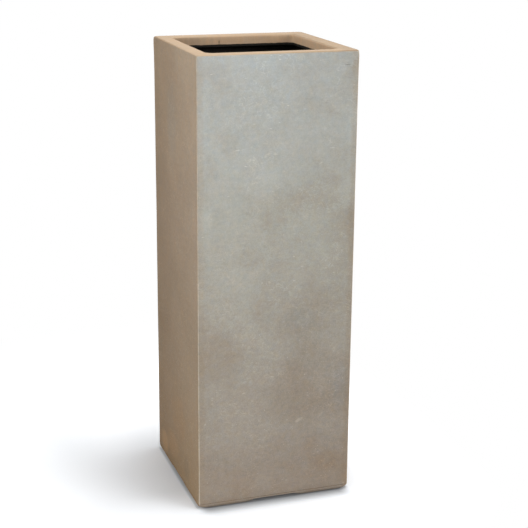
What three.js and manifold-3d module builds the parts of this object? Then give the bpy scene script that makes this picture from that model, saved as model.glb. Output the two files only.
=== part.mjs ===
// A tall square planter, moulded in glass fibre with a stone-coloured coat.
//
// Millimetres, +Z up. The origin is the centre of the footprint, on the ground, and
// the front is the side that faces -Y.
//
// On a bench the planter comes apart as: one hand-laid shell (four walls, the flat
// rim and the return that hangs inside the opening), a moulded base pan bonded into
// the foot of the shell, four corner cleats bonded to the walls, a planting shelf
// that lies loose on the cleats, and a rubber plug in the drain hole.

import * as THREE from 'three';
import * as BufferGeometryUtils from 'three/addons/utils/BufferGeometryUtils.js';
import Module from 'manifold-3d';

const wasm = await Module();
wasm.setup();

// ---------------------------------------------------------------- driving sizes

// The whole planter
const WIDTH = 350; // outside, across the rim, both ways
const HEIGHT = 990; // ground to the top of the rim
const CORNER_RADIUS = 3.6; // upright outside corners, at their widest

// Shell
const WALL = 5; // laminate thickness of the four walls
const INSIDE_CORNER_RADIUS = 11; // upright corners inside the walls
const RIM_WIDTH = 33; // flat top, from the outside edge to the opening
const RIM_THICKNESS = 6; // laminate thickness of the flat top
const RIM_EDGE_RADIUS = 3; // outside edge of the rim
const RIM_CORNER_RADIUS = 10; // upright corners, where they reach the flat top
const RIM_CORNER_DEPTH = 11; // from the rim top to where the corners begin to round off
const RIM_FLARE = 0.6; // how far the rim's edge stands out past the wall
const WALL_DRAFT = 0.6; // how much further out each wall stands at its foot
const FLARE_TOP = 14; // from the rim top to where the flare is full
const FLARE_FOOT = 44; // from the rim top to where the plain wall begins
const OPENING_CORNER_RADIUS = 15; // upright corners of the opening
const OPENING_EDGE_RADIUS = 4; // where the rim turns down into the return
const RETURN_DEPTH = 26; // from the rim top to the return's lower edge
const RETURN_THICKNESS = 5;
const RETURN_FILLET = 5; // behind the return, under the rim
const RIM_FILLET = 9; // where the rim's underside meets the wall

// Base pan
const BASE_EDGE_RADIUS = 9; // the rounded bottom edge, all round
const BASE_CORNER_RADIUS = 22; // upright corners, where they reach the ground
const SKIRT_BAND = 0.8; // upright strip between the rounded edge and the seam's edge
const SEAM_EDGE_RADIUS = 1.5; // both edges of the seam between the pan and the walls
const FLOOR_THICKNESS = 5; // laminate thickness of the pan
const FLOOR_FILLET = 6; // where the pan's floor turns up into its upstand
const UPSTAND_HEIGHT = 30; // bonding flange inside the walls, above the seam
const UPSTAND_THICKNESS = 4.5;
const ARCH_HEIGHT = 8; // opening between two feet, above the ground
const ARCH_FLAT = 88; // length of the arch's level part
const ARCH_RAMP = 26; // length of each sloping end of the arch

// Drain
const DRAIN_RADIUS = 15; // hole in the base pan
const DISH_RADIUS = 55; // shallow dish that leads water to the hole
const DISH_DEPTH = 1.5;
const DISH_SEAT_MARGIN = 2; // level ring round the plug's flange
const PLUG_BELOW = 5; // how far the plug reaches below the pan's floor
const PLUG_DRAFT = 1.2; // how much narrower the plug's end is, in radius
const PLUG_WALL = 4.5; // rubber round the blind hollow in the plug's end
const PLUG_HOLLOW_DEPTH = 6;
const PLUG_LIP = 7; // how far the flange stands out past the hole
const PLUG_FLANGE_THICKNESS = 3;
const PLUG_NECK_RADIUS = 4.5; // between the flange and the grip
const PLUG_NECK_LENGTH = 6;
const PLUG_GRIP_RADIUS = 9;
const PLUG_GRIP_THICKNESS = 6;

// Planting shelf
const SHELF_DEPTH = 350; // from the rim top to the shelf's upper face
const SHELF_THICKNESS = 5;
const SKIRT_DEPTH = 24; // from the upper face to the skirt's lower edge
const SKIRT_THICKNESS = 4;
const SHELF_CORNER_RADIUS = 14;
const SHELF_EDGE_RADIUS = 3;
const RIB_DEPTH = 14; // below the shelf's plate
const RIB_THICKNESS = 4;
const CELLS_ACROSS = 3; // rows of cells that the ribs make, each way
const SHELF_DRAIN_RADIUS = 8; // one to a cell
const FINGER_HOLE_RADIUS = 16; // in the middle cells at the left and right

// Cleats under the shelf
const CLEAT_BEARING = 54; // how far each leg reaches in under the shelf's corner
const CLEAT_TIP = 14; // blunt end of each leg
const CLEAT_THICKNESS = 6;
const CLEAT_FLANGE_THICKNESS = 4;
const CLEAT_FLANGE_DEPTH = 42; // at the corner, from the cleat's top
const CLEAT_TIP_DEPTH = 16; // at the end of each leg, from the cleat's top

// Clearances
const BOND_GAP = 0.3; // glue line between bonded pieces
const REST_GAP = 0.3; // between a loose piece and what it lies on
const SHELF_PASS = 4; // shelf to opening, on each side, as it is lifted out
const PLUG_FIT = 0.3; // plug to drain hole, all round

// Facets
const CORNER_STEPS = 6; // flats in each upright corner
const EDGE_STEPS = 4; // flats in each rounded edge
const FLARE_STEPS = 6;
const HOLE_SIDES = 24;
const TURNED_SIDES = 40;
const OVERRUN = 1; // how far a cutter runs past what it cuts

// ---------------------------------------------------------------- derived sizes

const outsideHalf = WIDTH / 2;
const wallHalf = outsideHalf - RIM_FLARE; // under the flare, where the walls are closest
const footHalf = wallHalf + WALL_DRAFT;
const insideHalf = wallHalf - WALL;
const openingHalf = outsideHalf - RIM_WIDTH;
const returnBackHalf = openingHalf + RETURN_THICKNESS;
const rimUnderside = HEIGHT - RIM_THICKNESS;
const seamHeight = BASE_EDGE_RADIUS + SKIRT_BAND + SEAM_EDGE_RADIUS;
const wallFoot = seamHeight + BOND_GAP;

const bondHalf = insideHalf - BOND_GAP; // outer face of what is bonded to the walls
const bondCornerRadius = INSIDE_CORNER_RADIUS - BOND_GAP;
const upstandTop = seamHeight + UPSTAND_HEIGHT;
const trayHalf = bondHalf - UPSTAND_THICKNESS;
const trayCornerRadius = bondCornerRadius - UPSTAND_THICKNESS;
const floorTop = ARCH_HEIGHT + FLOOR_THICKNESS;
const archHalf = ARCH_FLAT / 2;
const dishFloor = floorTop - DISH_DEPTH;
const plugSeat = dishFloor + REST_GAP;
const plugFlangeRadius = DRAIN_RADIUS + PLUG_LIP;

const shelfHalf = openingHalf - SHELF_PASS;
const shelfTop = HEIGHT - SHELF_DEPTH;
const shelfUnderside = shelfTop - SHELF_THICKNESS;
const skirtFoot = shelfTop - SKIRT_DEPTH;
const shelfRoomHalf = shelfHalf - SKIRT_THICKNESS;
const cellPitch = 2 * shelfRoomHalf / CELLS_ACROSS;
const cleatTop = skirtFoot - REST_GAP;
const cleatLeg = 2 * (bondHalf - shelfHalf) + CLEAT_BEARING;

// ---------------------------------------------------------------- geometry helpers

// A rounded corner in a section, as points [half width, height].
function sectionArc(centreHalf, centreZ, radius, fromDegrees, toDegrees) {
  return Array.from({ length: EDGE_STEPS + 1 }, (_, i) => {
    const degrees = THREE.MathUtils.lerp(fromDegrees, toDegrees, i / EDGE_STEPS);
    const angle = THREE.MathUtils.degToRad(degrees);
    return [centreHalf + radius * Math.cos(angle), centreZ + radius * Math.sin(angle)];
  });
}

// One level outline of a planter: a square with rounded corners, as [x, y, z] points.
function squareRing(half, z, cornerRadius) {
  const points = [];
  for (const [corner, signX, signY] of [[0, 1, 1], [1, -1, 1], [2, -1, -1], [3, 1, -1]]) {
    for (let step = 0; step <= CORNER_STEPS; step++) {
      const angle = (corner + step / CORNER_STEPS) * Math.PI / 2;
      points.push([
        signX * (half - cornerRadius) + cornerRadius * Math.cos(angle),
        signY * (half - cornerRadius) + cornerRadius * Math.sin(angle),
        z,
      ]);
    }
  }
  return points;
}

// Square rings along a section, with the corner radius given for each half width and
// height.
function ringsAlong(section, cornerRadiusAt) {
  return section.map(([half, z]) => squareRing(half, z, cornerRadiusAt(half, z)));
}

// Skins a run of rings. A closed run goes back to its first ring, as the section of
// a hollow wall does; an open run is capped at its first and last ring.
function loft(rings, closed) {
  const count = rings[0].length;
  const index = [];
  const bands = closed ? rings.length : rings.length - 1;
  for (let band = 0; band < bands; band++) {
    const lower = band * count;
    const upper = ((band + 1) % rings.length) * count;
    for (let i = 0; i < count; i++) {
      const next = (i + 1) % count;
      index.push(lower + i, lower + next, upper + next);
      index.push(lower + i, upper + next, upper + i);
    }
  }
  if (!closed) {
    const last = (rings.length - 1) * count;
    for (let i = 1; i < count - 1; i++) {
      index.push(0, i + 1, i);
      index.push(last, last + i, last + i + 1);
    }
  }
  const geometry = new THREE.BufferGeometry();
  geometry.setAttribute('position', new THREE.Float32BufferAttribute(rings.flat(2), 3));
  geometry.setIndex(index);
  return geometry;
}

// A solid square block between two or more levels of a section.
function block(section, cornerRadiusAt) {
  return loft(ringsAlong(section, cornerRadiusAt), false);
}

// Sweeps an outline of [x, y] points up from one level to another.
function plate(outline, fromZ, toZ) {
  const shape = new THREE.Shape(outline.map(([x, y]) => new THREE.Vector2(x, y)));
  const geometry = new THREE.ExtrudeGeometry(shape, { depth: toZ - fromZ, bevelEnabled: false });
  return geometry.translate(0, 0, fromZ);
}

// Sweeps an upright outline of [x, z] points along Y.
function bar(outline, fromY, toY) {
  return plate(outline, fromY, toY).rotateX(Math.PI / 2).translate(0, fromY + toY, 0);
}

// A round cutter standing upright, straight or tapering to another radius at its
// top. The middles of its flats lie on the true circle, so a round plug clears them.
function roundCutter(x, y, fromZ, toZ, radius, topRadius = radius) {
  const reach = 1 / Math.cos(Math.PI / HOLE_SIDES);
  const geometry = new THREE.CylinderGeometry(
    topRadius * reach, radius * reach, toZ - fromZ, HOLE_SIDES);
  return geometry.rotateX(Math.PI / 2).translate(x, y, (fromZ + toZ) / 2);
}

function turned(geometry, degrees) {
  return geometry.clone().rotateZ(THREE.MathUtils.degToRad(degrees));
}

// ---------------------------------------------------------------- joining and cutting

function solid(geometry) {
  const bare = geometry.clone();
  bare.deleteAttribute('normal');
  bare.deleteAttribute('uv');
  const merged = BufferGeometryUtils.mergeVertices(bare);
  return new wasm.Manifold(new wasm.Mesh({
    numProp: 3,
    vertProperties: new Float32Array(merged.attributes.position.array),
    triVerts: new Uint32Array(merged.index.array),
  }));
}

function skin(manifold) {
  const mesh = manifold.getMesh();
  const geometry = new THREE.BufferGeometry();
  geometry.setAttribute('position', new THREE.Float32BufferAttribute(mesh.vertProperties, 3));
  geometry.setIndex(new THREE.Uint32BufferAttribute(mesh.triVerts, 1));
  return geometry;
}

function join(...solids) {
  return solids.reduce((whole, piece) => whole.add(piece));
}

function cut(whole, ...cutters) {
  return cutters.reduce((rest, cutter) => rest.subtract(cutter), whole);
}

// ---------------------------------------------------------------- shell

// The walls' outside face near the top, swelling out smoothly to the rim's edge.
function flareSection() {
  return Array.from({ length: FLARE_STEPS + 1 }, (_, i) => {
    const share = i / FLARE_STEPS;
    const swell = THREE.MathUtils.smoothstep(share, 0, 1);
    return [
      THREE.MathUtils.lerp(wallHalf, outsideHalf, swell),
      HEIGHT - THREE.MathUtils.lerp(FLARE_FOOT, FLARE_TOP, share),
    ];
  });
}

// The upright outside corners keep one centre, whatever the half width.
function outsideCornerAt(half) {
  return CORNER_RADIUS + half - outsideHalf;
}

// Near the flat top the same corners round off more and more.
function rimCornerAt(half, z) {
  const share = (z - HEIGHT + RIM_CORNER_DEPTH) / RIM_CORNER_DEPTH;
  return THREE.MathUtils.lerp(outsideCornerAt(half), RIM_CORNER_RADIUS, share ** 2);
}

// The shell is one laminate, so its section closes on itself: up the outside, over
// the rim, down the front of the return and up its back, and down the inside.
function makeShell() {
  const edgeHalf = RETURN_THICKNESS / 2;
  const returnFoot = HEIGHT - RETURN_DEPTH + edgeHalf;
  const outside = [
    ...sectionArc(footHalf - SEAM_EDGE_RADIUS, wallFoot + SEAM_EDGE_RADIUS,
      SEAM_EDGE_RADIUS, -90, 0),
    ...flareSection(),
  ];
  const cornerFoot = HEIGHT - RIM_CORNER_DEPTH;
  const cornerMiddle = (cornerFoot + HEIGHT - RIM_EDGE_RADIUS) / 2;
  const rim = [
    [outsideHalf, cornerFoot],
    [outsideHalf, cornerMiddle],
    ...sectionArc(outsideHalf - RIM_EDGE_RADIUS, HEIGHT - RIM_EDGE_RADIUS,
      RIM_EDGE_RADIUS, 0, 90),
  ];
  const opening = [
    ...sectionArc(openingHalf + OPENING_EDGE_RADIUS, HEIGHT - OPENING_EDGE_RADIUS,
      OPENING_EDGE_RADIUS, 90, 180),
    ...sectionArc(openingHalf + edgeHalf, returnFoot, edgeHalf, 180, 360),
    ...sectionArc(returnBackHalf + RETURN_FILLET, rimUnderside - RETURN_FILLET,
      RETURN_FILLET, 180, 90),
  ];
  const inside = [
    ...sectionArc(insideHalf - RIM_FILLET, rimUnderside - RIM_FILLET, RIM_FILLET, 90, 0),
    [insideHalf, wallFoot],
  ];
  return loft([
    ...ringsAlong(outside, outsideCornerAt),
    ...ringsAlong(rim, rimCornerAt),
    ...ringsAlong(opening, (half) => OPENING_CORNER_RADIUS + half - openingHalf),
    ...ringsAlong(inside, () => INSIDE_CORNER_RADIUS),
  ], true);
}

// ---------------------------------------------------------------- base pan

// The arch under each side, seen from that side: level in the middle, with a ramp
// down to a foot at each end. It also gives the strip that the arch lifts up inside.
function archOutline(groundZ) {
  const footHalf = archHalf + ARCH_RAMP;
  return [
    [-footHalf, groundZ - OVERRUN],
    [footHalf, groundZ - OVERRUN],
    [footHalf, groundZ],
    [archHalf, groundZ + ARCH_HEIGHT],
    [-archHalf, groundZ + ARCH_HEIGHT],
    [-footHalf, groundZ],
  ];
}

// Two arches, or two lifted strips, that cross under the middle of the pan.
function crossedArches(groundZ) {
  const strip = bar(archOutline(groundZ), -outsideHalf, outsideHalf);
  return join(solid(strip), solid(turned(strip, 90)));
}

// The room inside the pan. Its floor follows the underside at the laminate's
// thickness, so each foot is a hollow that lies lower than the crossed strips.
function panRoom() {
  const tray = block([
    ...sectionArc(trayHalf - FLOOR_FILLET, floorTop + FLOOR_FILLET, FLOOR_FILLET, -90, 0),
    [trayHalf, upstandTop + OVERRUN],
  ], () => trayCornerRadius);
  const feet = block([
    [trayHalf - FLOOR_FILLET, FLOOR_THICKNESS],
    [trayHalf - FLOOR_FILLET, floorTop + OVERRUN],
  ], () => trayCornerRadius);
  return join(solid(tray), cut(solid(feet), crossedArches(FLOOR_THICKNESS)));
}

function makeBasePan() {
  const lowerEdge = sectionArc(footHalf - BASE_EDGE_RADIUS, BASE_EDGE_RADIUS,
    BASE_EDGE_RADIUS, -90, 0);
  const seamEdge = sectionArc(footHalf - SEAM_EDGE_RADIUS, seamHeight - SEAM_EDGE_RADIUS,
    SEAM_EDGE_RADIUS, 0, 90);
  const lowerCornerAt = (half) => THREE.MathUtils.mapLinear(
    half, footHalf - BASE_EDGE_RADIUS, footHalf, BASE_CORNER_RADIUS, outsideCornerAt(footHalf));
  const body = loft([
    ...ringsAlong(lowerEdge, lowerCornerAt),
    ...ringsAlong(seamEdge, outsideCornerAt),
    ...ringsAlong([[bondHalf, seamHeight], [bondHalf, upstandTop]], () => bondCornerRadius),
  ], false);
  const dish = roundCutter(0, 0, dishFloor, floorTop,
    plugFlangeRadius + DISH_SEAT_MARGIN, DISH_RADIUS);
  const drain = roundCutter(0, 0, ARCH_HEIGHT - OVERRUN, floorTop, DRAIN_RADIUS);
  return skin(cut(solid(body), crossedArches(0), panRoom(), solid(dish), solid(drain)));
}

// ---------------------------------------------------------------- drain plug

// A rubber bung: hollow end, tapered body, flange, neck and a grip to pull it by.
function makePlug() {
  const end = ARCH_HEIGHT - PLUG_BELOW;
  const bodyRadius = DRAIN_RADIUS - PLUG_FIT;
  const endRadius = bodyRadius - PLUG_DRAFT;
  const hollowRadius = endRadius - PLUG_WALL;
  const neckFoot = plugSeat + PLUG_FLANGE_THICKNESS;
  const gripHalf = PLUG_GRIP_THICKNESS / 2;
  const gripMiddle = neckFoot + PLUG_NECK_LENGTH + gripHalf;
  const section = [
    [0, end + PLUG_HOLLOW_DEPTH],
    [hollowRadius, end + PLUG_HOLLOW_DEPTH],
    [hollowRadius, end],
    [endRadius, end],
    [bodyRadius, plugSeat],
    [plugFlangeRadius, plugSeat],
    [plugFlangeRadius, neckFoot],
    [PLUG_NECK_RADIUS, neckFoot],
    [PLUG_NECK_RADIUS, neckFoot + PLUG_NECK_LENGTH],
    ...sectionArc(PLUG_GRIP_RADIUS - gripHalf, gripMiddle, gripHalf, -90, 90),
    [0, gripMiddle + gripHalf],
  ];
  const points = section.map(([radius, z]) => new THREE.Vector2(radius, z));
  return new THREE.LatheGeometry(points, TURNED_SIDES).rotateX(Math.PI / 2);
}

// ---------------------------------------------------------------- planting shelf

// Places spread evenly about the middle of the shelf, one cell apart.
function cellSteps(count) {
  return Array.from({ length: count }, (_, i) => (i - (count - 1) / 2) * cellPitch);
}

function makeShelf() {
  const tray = block([
    [shelfHalf, skirtFoot],
    ...sectionArc(shelfHalf - SHELF_EDGE_RADIUS, shelfTop - SHELF_EDGE_RADIUS,
      SHELF_EDGE_RADIUS, 0, 90),
  ], (half) => SHELF_CORNER_RADIUS + half - shelfHalf);
  const room = block([
    [shelfRoomHalf, skirtFoot - OVERRUN],
    [shelfRoomHalf, shelfUnderside],
  ], () => SHELF_CORNER_RADIUS - SKIRT_THICKNESS);

  const ribs = cellSteps(CELLS_ACROSS - 1).flatMap((x) => {
    const outline = [
      [x - RIB_THICKNESS / 2, shelfUnderside - RIB_DEPTH],
      [x + RIB_THICKNESS / 2, shelfUnderside - RIB_DEPTH],
      [x + RIB_THICKNESS / 2, shelfTop - SHELF_EDGE_RADIUS],
      [x - RIB_THICKNESS / 2, shelfTop - SHELF_EDGE_RADIUS],
    ];
    const rib = bar(outline, -shelfRoomHalf - OVERRUN, shelfRoomHalf + OVERRUN);
    return [solid(rib), solid(turned(rib, 90))];
  });

  const rows = cellSteps(CELLS_ACROSS);
  const fingerX = rows.at(-1);
  const holes = rows.flatMap((y) => rows.map((x) => {
    const isFingerHole = y === 0 && Math.abs(x) === fingerX;
    const radius = isFingerHole ? FINGER_HOLE_RADIUS : SHELF_DRAIN_RADIUS;
    return solid(roundCutter(x, y, shelfUnderside - OVERRUN, shelfTop + OVERRUN, radius));
  }));
  return skin(cut(join(cut(solid(tray), solid(room)), ...ribs), ...holes));
}

// ---------------------------------------------------------------- cleats

// The cleat of the corner where X and Y are both positive: a three-cornered plate
// with a tapering flange down each wall, rounded to fit the corner of the walls.
function makeCleat() {
  const legEnd = bondHalf - cleatLeg;
  const corner = plate([
    [bondHalf, bondHalf],
    [legEnd, bondHalf],
    [legEnd, bondHalf - CLEAT_TIP],
    [bondHalf - CLEAT_TIP, legEnd],
    [bondHalf, legEnd],
  ], cleatTop - CLEAT_THICKNESS, cleatTop);
  const flange = [
    [bondHalf, cleatTop],
    [legEnd, cleatTop],
    [legEnd, cleatTop - CLEAT_TIP_DEPTH],
    [bondHalf, cleatTop - CLEAT_FLANGE_DEPTH],
  ];
  const alongX = bar(flange, bondHalf - CLEAT_FLANGE_THICKNESS, bondHalf);
  const alongY = turned(bar(flange, -bondHalf, -bondHalf + CLEAT_FLANGE_THICKNESS), 90);
  const walls = block([
    [bondHalf, cleatTop - CLEAT_FLANGE_DEPTH - OVERRUN],
    [bondHalf, cleatTop + OVERRUN],
  ], () => bondCornerRadius);
  return skin(join(solid(corner), solid(alongX), solid(alongY)).intersect(solid(walls)));
}

// ---------------------------------------------------------------- finishes

function finish(color, roughness) {
  return new THREE.MeshStandardMaterial({ color, roughness, metalness: 0 });
}

const stoneCoat = finish(0xaba593, 0.75);
const blackLaminate = finish(0x1c1916, 0.65);
const shelfLaminate = finish(0x2e2b27, 0.7);
const blackRubber = finish(0x1b1b1c, 0.85);

// ---------------------------------------------------------------- assembly

const planter = new THREE.Group();

function addPiece(name, geometry, material) {
  const mesh = new THREE.Mesh(geometry, material);
  mesh.name = name;
  planter.add(mesh);
  return mesh;
}

addPiece('planter_shell', makeShell(), stoneCoat);
addPiece('base_pan', makeBasePan(), stoneCoat);
addPiece('drain_plug', makePlug(), blackRubber);
addPiece('planting_shelf', makeShelf(), shelfLaminate);

const cleat = makeCleat();
['back_right', 'back_left', 'front_left', 'front_right'].forEach((corner, quarter) => {
  const piece = addPiece(`shelf_cleat_${corner}`, cleat, blackLaminate);
  piece.rotation.z = quarter * Math.PI / 2;
});

export default planter;
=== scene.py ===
"""The finish of a tall square fibreglass planter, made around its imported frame."""
import math
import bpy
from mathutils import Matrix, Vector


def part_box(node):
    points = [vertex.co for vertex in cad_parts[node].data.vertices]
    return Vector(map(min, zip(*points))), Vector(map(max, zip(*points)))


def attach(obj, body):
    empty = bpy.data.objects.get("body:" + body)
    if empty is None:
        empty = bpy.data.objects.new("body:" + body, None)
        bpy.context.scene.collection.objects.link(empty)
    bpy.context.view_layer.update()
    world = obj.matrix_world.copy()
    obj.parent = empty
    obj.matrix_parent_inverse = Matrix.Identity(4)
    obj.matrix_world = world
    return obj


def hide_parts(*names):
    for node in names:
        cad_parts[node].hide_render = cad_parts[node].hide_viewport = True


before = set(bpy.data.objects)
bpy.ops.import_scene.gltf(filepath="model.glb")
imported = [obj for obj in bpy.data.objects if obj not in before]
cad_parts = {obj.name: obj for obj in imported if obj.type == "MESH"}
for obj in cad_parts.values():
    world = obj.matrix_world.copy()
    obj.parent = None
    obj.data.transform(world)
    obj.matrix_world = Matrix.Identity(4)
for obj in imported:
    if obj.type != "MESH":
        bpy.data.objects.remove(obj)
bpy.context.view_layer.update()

from types import SimpleNamespace

import bmesh
import bpy
from mathutils import Matrix, Vector

# ---------------- sizes, in metres

MM = 0.001

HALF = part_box("planter_shell")[1].x
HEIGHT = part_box("planter_shell")[1].z
FLARE = 0.6 * MM
WALL_HALF = HALF - FLARE
FOOT_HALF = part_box("base_pan")[1].x
CORNER_RADIUS = 3.6 * MM
RIM_CORNER_RADIUS = 10 * MM
RIM_CORNER_DEPTH = 11 * MM
WALL = 5 * MM
INSIDE_CORNER_RADIUS = 11 * MM
RIM_WIDTH = 33 * MM
RIM_THICKNESS = 6 * MM
RIM_EDGE_RADIUS = 3 * MM
FLARE_TOP = 14 * MM
FLARE_FOOT = 44 * MM
OPENING_CORNER_RADIUS = 15 * MM
OPENING_EDGE_RADIUS = 4 * MM
RETURN_DEPTH = 26 * MM
RETURN_THICKNESS = 5 * MM
RETURN_FILLET = 5 * MM
RIM_FILLET = 9 * MM
COAT_DEPTH = 19.4 * MM
WALL_UNEVENNESS = 0.7 * MM

WALL_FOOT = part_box("planter_shell")[0].z
INSIDE_HALF = WALL_HALF - WALL
OPENING_HALF = HALF - RIM_WIDTH
RIM_UNDERSIDE = HEIGHT - RIM_THICKNESS

SEAM_HEIGHT = WALL_FOOT - 0.3 * MM
SEAM_EDGE_RADIUS = 1.1 * MM
BASE_EDGE_RADIUS = 9 * MM
BASE_CORNER_RADIUS = 24 * MM
BASE_CORNER_DEPTH = 13.5 * MM
BOND_HALF = INSIDE_HALF - 0.3 * MM
BOND_CORNER_RADIUS = INSIDE_CORNER_RADIUS - 0.3 * MM
UPSTAND_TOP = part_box("base_pan")[1].z
UPSTAND_THICKNESS = 4.5 * MM
FLOOR_THICKNESS = 5 * MM
FLOOR_FILLET = 6 * MM
ARCH_HEIGHT = 8 * MM
ARCH_FLAT_HALF = 44 * MM
ARCH_FOOT_HALF = 70 * MM
DRAIN_RADIUS = 15 * MM
DISH_RADIUS = 55 * MM
DISH_SEAT_RADIUS = 24 * MM
DISH_DEPTH = 1.5 * MM

PLUG_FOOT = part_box("drain_plug")[0].z
PLUG_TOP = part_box("drain_plug")[1].z

SHELF_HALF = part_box("planting_shelf")[1].x
SHELF_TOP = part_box("planting_shelf")[1].z
SKIRT_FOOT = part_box("planting_shelf")[0].z
SHELF_THICKNESS = 5 * MM
SKIRT_THICKNESS = 4 * MM
SHELF_CORNER_RADIUS = 14 * MM
SHELF_EDGE_RADIUS = 3 * MM
SHELF_ROOM_HALF = SHELF_HALF - SKIRT_THICKNESS
CELL_PITCH = 2 * SHELF_ROOM_HALF / 3
EDGE_SPREAD = 0.22

CLEAT_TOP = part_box("shelf_cleat_back_right")[1].z
CLEAT_LEG_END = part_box("shelf_cleat_back_right")[0].x

# ---------------- node sheets


def math_method(operation, swapped=False):
    """A method of Wire that adds one Math node."""
    def method(self, other=0.0):
        first, second = (other, self) if swapped else (self, other)
        return self.sheet.node("ShaderNodeMath", {"operation": operation}, {0: first, 1: second})
    return method


class Wire:
    """A node's output. An expression on wires adds the Math nodes that work it out."""

    def __init__(self, sheet, socket):
        self.sheet = sheet
        self.socket = socket

    def of_same_node(self, name):
        return Wire(self.sheet, self.socket.node.outputs[name])

    __add__ = __radd__ = math_method("ADD")
    __sub__ = math_method("SUBTRACT")
    __rsub__ = math_method("SUBTRACT", swapped=True)
    __mul__ = __rmul__ = math_method("MULTIPLY")
    __truediv__ = math_method("DIVIDE")
    __mod__ = math_method("FLOORED_MODULO")
    __pow__ = math_method("POWER")
    __abs__ = math_method("ABSOLUTE")
    floor = math_method("FLOOR")
    cosine = math_method("COSINE")
    sine = math_method("SINE")
    at_least = math_method("MAXIMUM")
    at_most = math_method("MINIMUM")

    def __neg__(self):
        return self * -1.0


class Sheet:
    """A node tree under construction, for a material or for a shape."""

    def __init__(self, tree):
        self.tree = tree
        tree.nodes.clear()

    def node(self, kind, settings=None, inputs=None, output=0):
        """Adds a node: its settings first, then the values or wires of its sockets."""
        made = self.tree.nodes.new(kind)
        for name, value in (settings or {}).items():
            if name == "stops":
                self._set_stops(made.color_ramp, value)
            else:
                setattr(made, name, value)
        for name, value in (inputs or {}).items():
            for each in value if isinstance(value, list) else [value]:
                self._feed(made.inputs[name], each)
        return Wire(self, made.outputs[output]) if len(made.outputs) else made

    def _feed(self, socket, value):
        if isinstance(value, Wire):
            self.tree.links.new(value.socket, socket)
        elif socket.type == "RGBA":
            socket.default_value = (*value, 1.0)
        else:
            socket.default_value = value

    @staticmethod
    def _set_stops(ramp, stops):
        while len(ramp.elements) < len(stops):
            ramp.elements.new(0.5)
        for element, (place, colour) in zip(ramp.elements, stops):
            element.position = place
            element.color = (*colour, 1.0)

    def ramp(self, value, stops):
        """A colour that runs through the stops as the value goes from 0 to 1."""
        return self.node("ShaderNodeValToRGB", {"stops": stops}, {"Fac": value})

    def fade(self, value, low, high, to_low=0.0, to_high=1.0):
        """Goes smoothly from to_low to to_high while the value goes from low to high."""
        return self.node("ShaderNodeMapRange", {"interpolation_type": "SMOOTHSTEP"}, {
            "Value": value, "From Min": low, "From Max": high,
            "To Min": to_low, "To Max": to_high})

    def blend(self, share, first, second, how="MIX"):
        """Mixes two colours by a share from 0 to 1."""
        return self.node("ShaderNodeMix", {"data_type": "RGBA", "blend_type": how},
                         {0: share, 6: first, 7: second}, output=2)

    def between(self, share, first, second):
        """A number or a vector on the way from the first to the second."""
        if isinstance(first, Wire) and first.socket.type == "VECTOR":
            return self.node("ShaderNodeMix", {"data_type": "VECTOR"},
                             {0: share, 4: first, 5: second}, output=1)
        return self.node("ShaderNodeMix", {"data_type": "FLOAT"}, {0: share, 2: first, 3: second})

    def vector(self, x, y, z):
        return self.node("ShaderNodeCombineXYZ", None, {"X": x, "Y": y, "Z": z})

    def parts(self, vector):
        x = self.node("ShaderNodeSeparateXYZ", None, {0: vector})
        return x, x.of_same_node("Y"), x.of_same_node("Z")

    def scaled(self, vector, scale):
        return self.node("ShaderNodeVectorMath", {"operation": "MULTIPLY"},
                         {0: vector, 1: scale})

    def stretched(self, vector, amount):
        return self.node("ShaderNodeVectorMath", {"operation": "SCALE"},
                         {0: vector, "Scale": amount})

    def summed(self, first, second):
        return self.node("ShaderNodeVectorMath", {"operation": "ADD"}, {0: first, 1: second})

    def noise(self, vector, scale, detail=3.0, roughness=0.55, distortion=0.0, seed=0.0):
        """Cloudy noise from about 0 to 1, with scale in clouds per metre."""
        return self.node("ShaderNodeTexNoise", {"noise_dimensions": "4D"}, {
            "Vector": vector, "W": seed, "Scale": scale, "Detail": detail,
            "Roughness": roughness, "Distortion": distortion})


def new_material(name):
    """A new material, its sheet, and each point's place in metres."""
    material = bpy.data.materials.new(name)
    material.use_nodes = True
    sheet = Sheet(material.node_tree)
    return material, sheet, sheet.node("ShaderNodeTexCoord", None, None, "Object")


def finish_with(sheet, shader):
    sheet.node("ShaderNodeOutputMaterial", None, {"Surface": shader})


def finish_surface(sheet, colour, roughness, specular, relief, strength, depth):
    """Ends a material as one surface, with its relief as bump of a strength and a depth."""
    normal = sheet.node("ShaderNodeBump", None, {
        "Strength": strength, "Distance": depth, "Height": relief})
    finish_with(sheet, sheet.node("ShaderNodeBsdfPrincipled", None, {
        "Base Color": colour, "Roughness": roughness, "Normal": normal,
        "Specular IOR Level": specular}))


def shaded_by(sheet, colour, shade):
    """A colour made lighter or darker by a number near 1."""
    return sheet.blend(1.0, colour, sheet.vector(shade, shade, shade), "MULTIPLY")


# ---------------- stone coat

# Both ramps run from the foot (0) to the top (1) and grow lighter upwards: partly the coat's own
# tone, partly painted light from above.
BASE_TAN = ((0.0, (0.335, 0.225, 0.122)), (0.33, (0.330, 0.236, 0.145)),
            (0.66, (0.395, 0.293, 0.200)), (1.0, (0.475, 0.356, 0.243)))
# The grey over the tan is partly a real wash and partly a painted cool sheen on the sides that
# face the light.
GREY_WASH_AND_SHEEN = ((0.0, (0.315, 0.258, 0.205)), (0.33, (0.357, 0.316, 0.260)),
             (0.66, (0.428, 0.413, 0.357)), (1.0, (0.487, 0.500, 0.472)))
RIM_TAN = (0.455, 0.330, 0.215)
# The return is painted lighter than the rim, standing in for light that hardly reaches into the
# opening.
RETURN_TAN_WITH_PAINTED_LIGHT = (0.66, 0.46, 0.295)
# Upright corners: partly rubbed coat, partly a painted highlight along the rounded edge.
RUBBED_EDGE_AND_HIGHLIGHT = (0.60, 0.52, 0.42)
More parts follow.
